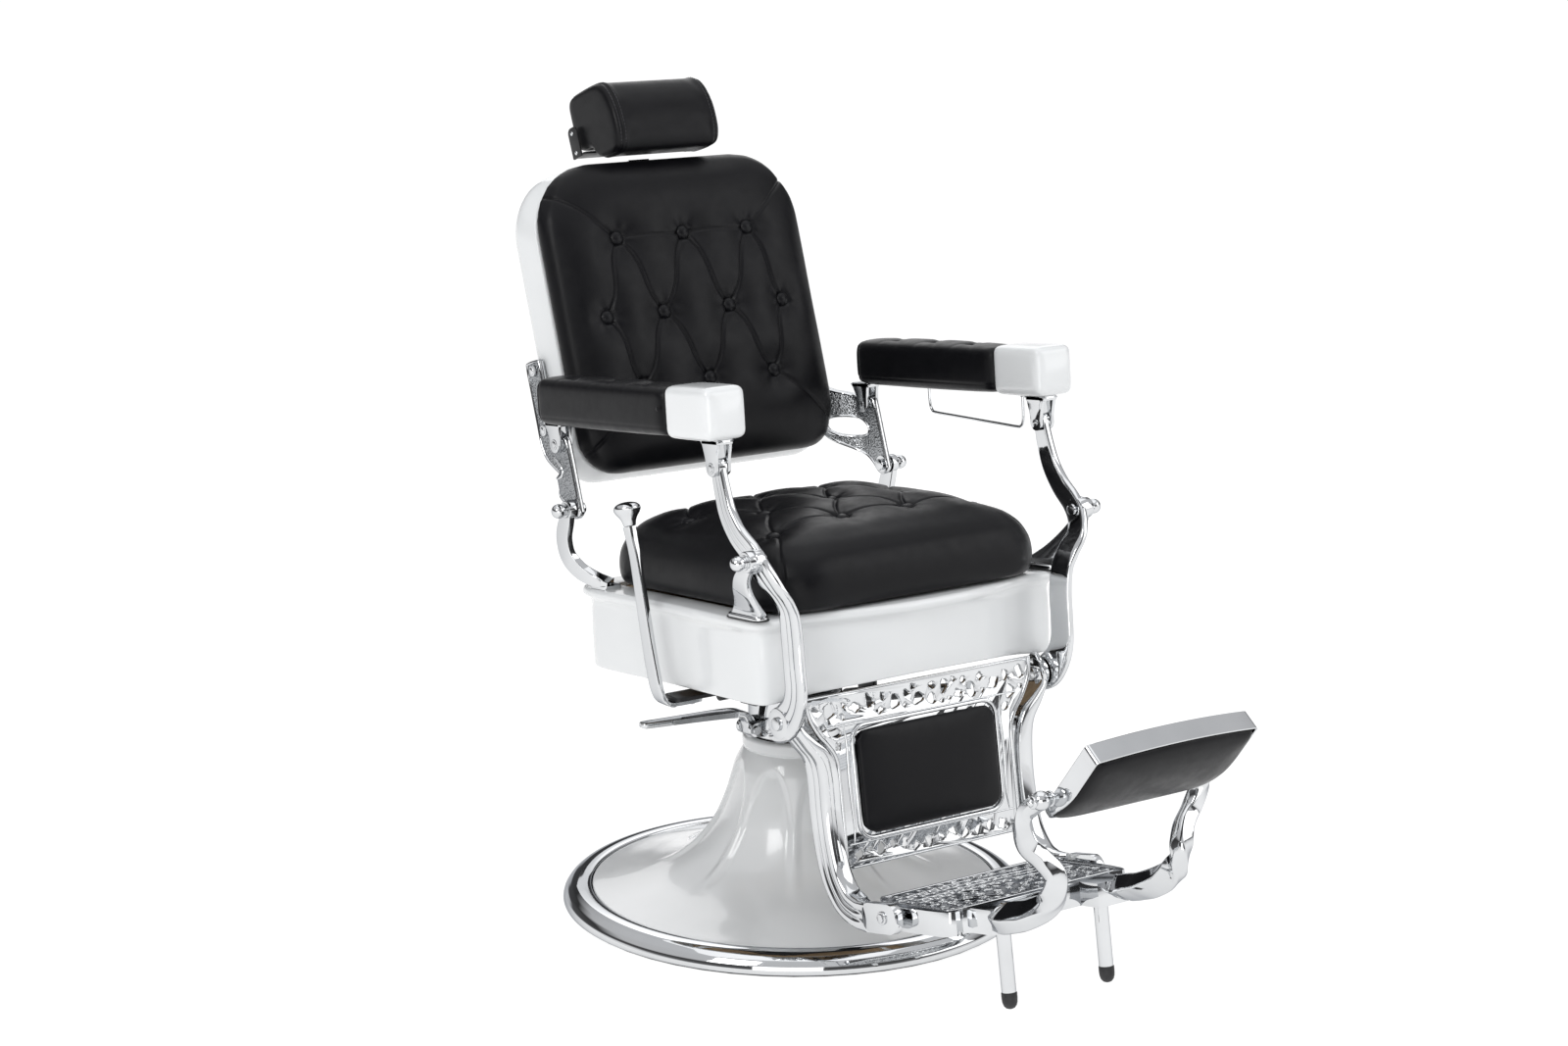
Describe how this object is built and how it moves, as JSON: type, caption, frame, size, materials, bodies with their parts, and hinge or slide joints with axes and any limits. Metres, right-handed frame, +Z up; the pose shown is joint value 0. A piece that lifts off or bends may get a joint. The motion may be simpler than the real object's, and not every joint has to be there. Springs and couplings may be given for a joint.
{
  "type": "hydraulic barber chair",
  "caption": "Reclining hydraulic barber chair with round base, pump lever, coupled armrests and calf frame, folding tread and flip foot pad.",
  "frame": {"origin": "centre of the base ring on the floor", "axes": "+Z up; the sitter faces -Y; the chair's left is +X"},
  "size_m": [0.7, 1.3124, 1.2079],
  "materials": {
    "chrome": "polished chrome plate",
    "steel": "ground steel",
    "dark_steel": "black painted steel",
    "cast_iron": "raw casting",
    "bronze": "sintered bronze bush",
    "white_enamel": "glossy white enamel",
    "black_leather": "soft satin leatherette",
    "black_rubber": "moulded rubber",
    "plywood": "plain plywood"
  },
  "bodies": {
    "base": {"base_ring": "chrome", "floor_gasket": "black_rubber", "weight_plate": "cast_iron", "pedestal_shell": "white_enamel", "swivel_bearing": "bronze"},
    "swivel": {"pump_cylinder": "steel", "pump_housing": "chrome", "pump_lever_pin": "steel"},
    "pump": {"pump_lever": "chrome"},
    "seat": {"ram": "chrome", "seat_frame": "dark_steel", "seat_board": "plywood", "seat_skirt": "white_enamel", "seat_cushion": "black_leather", "knee_bracket_right": "chrome", "knee_bracket_left": "chrome", "rear_bracket_right": "chrome", "rear_bracket_left": "chrome", "knee_ball_right": "chrome", "knee_ball_left": "chrome", "rear_ball_right": "chrome", "rear_ball_left": "chrome", "lock_cylinder": "dark_steel"},
    "recline_lever": {"recline_shaft": "dark_steel", "recline_arm": "chrome", "recline_knob": "chrome"},
    "lock": {"lock_rod": "chrome"},
    "backrest": {"back_shell": "white_enamel", "back_cushion": "black_leather", "headrest_guide": "dark_steel", "back_bracket_right": "chrome", "back_bracket_left": "chrome"},
    "headrest_post": {"headrest_bar": "chrome", "headrest_bracket": "dark_steel"},
    "headrest": {"headrest_pad": "black_leather"},
    "armrests": {"arm_cap_right": "white_enamel", "arm_cap_left": "white_enamel", "arm_pad_right": "black_leather", "arm_pad_left": "black_leather", "rear_clevis_right": "chrome", "rear_clevis_left": "chrome", "front_clevis_right": "chrome", "front_clevis_left": "chrome", "towel_rail": "chrome"},
    "front_struts": {"strut_right": "chrome", "strut_left": "chrome"},
    "calf_frame": {"leg_rail_right": "chrome", "leg_rail_left": "chrome", "leg_bolt_right": "chrome", "leg_bolt_left": "chrome", "tread_rod": "chrome", "calf_panel": "chrome", "calf_pad": "black_leather"},
    "tread": {"tread_plate": "chrome", "peg_right": "chrome", "peg_left": "chrome", "pad_arm_right": "chrome", "pad_arm_left": "chrome"},
    "foot_pad": {"foot_tray": "chrome", "foot_leather": "black_leather"}
  },
  "joints": [
    {"name": "swivel_turn", "type": "hinge", "parent": "base", "child": "swivel", "pos_m": [0, 0, 0.25], "axis": [0, 0, 1], "continuous": true},
    {"name": "pump_stroke", "type": "hinge", "parent": "swivel", "child": "pump", "pos_m": [-0.0845, 0, 0.283], "axis": [0, -1, 0], "range_deg": [0, 20], "stiffness_Nm_per_rad": 2, "springref_deg": -17.19},
    {"name": "seat_lift", "type": "slide", "parent": "swivel", "child": "seat", "axis": [0, 0, 1], "range_m": [0, 0.15]},
    {"name": "recline_release", "type": "hinge", "parent": "seat", "child": "recline_lever", "pos_m": [-0.2, -0.085, 0.37], "axis": [1, 0, 0], "range_deg": [-14, 0], "stiffness_Nm_per_rad": 4, "springref_deg": 22.92},
    {"name": "back_recline", "type": "hinge", "parent": "seat", "child": "backrest", "pos_m": [0, 0.155, 0.6126], "axis": [-1, 0, 0], "range_deg": [0, 45]},
    {"name": "headrest_height", "type": "slide", "parent": "backrest", "child": "headrest_post", "axis": [0, 0.3256, 0.9455], "range_m": [0, 0.08]},
    {"name": "headrest_tilt", "type": "hinge", "parent": "headrest_post", "child": "headrest", "pos_m": [0, 0.437, 1.11], "axis": [1, 0, 0], "range_deg": [-12, 4]},
    {"name": "arm_level", "type": "hinge", "parent": "backrest", "child": "armrests", "pos_m": [0, 0.197, 0.7025], "axis": [-1, 0, 0], "range_deg": [-47.5, 0]},
    {"name": "strut_swing", "type": "hinge", "parent": "seat", "child": "front_struts", "pos_m": [0, -0.3, 0.622], "axis": [-1, 0, 0], "range_deg": [0, 35]},
    {"name": "calf_swing", "type": "hinge", "parent": "front_struts", "child": "calf_frame", "pos_m": [0, -0.293, 0.384], "axis": [-1, 0, 0], "range_deg": [0, 20.5]},
    {"name": "lock_travel", "type": "slide", "parent": "seat", "child": "lock", "axis": [0, -0.9622, 0.2723], "range_m": [0, 0.1445]},
    {"name": "tread_fold", "type": "hinge", "parent": "calf_frame", "child": "tread", "pos_m": [0, -0.4606, 0.1393], "axis": [-1, 0, 0], "range_deg": [0, 60]},
    {"name": "foot_pad_flip", "type": "hinge", "parent": "tread", "child": "foot_pad", "pos_m": [0, -0.745, 0.373], "axis": [1, 0, 0], "range_deg": [0, 120]}
  ],
  "couplings": [
    {"joint": "strut_swing", "follows": "back_recline", "ratio": 0.776},
    {"joint": "arm_level", "follows": "back_recline", "ratio": -1.044},
    {"joint": "calf_swing", "follows": "back_recline", "ratio": 0.45},
    {"joint": "lock_travel", "follows": "back_recline", "m_per_rad": 0.1827}
  ]
}
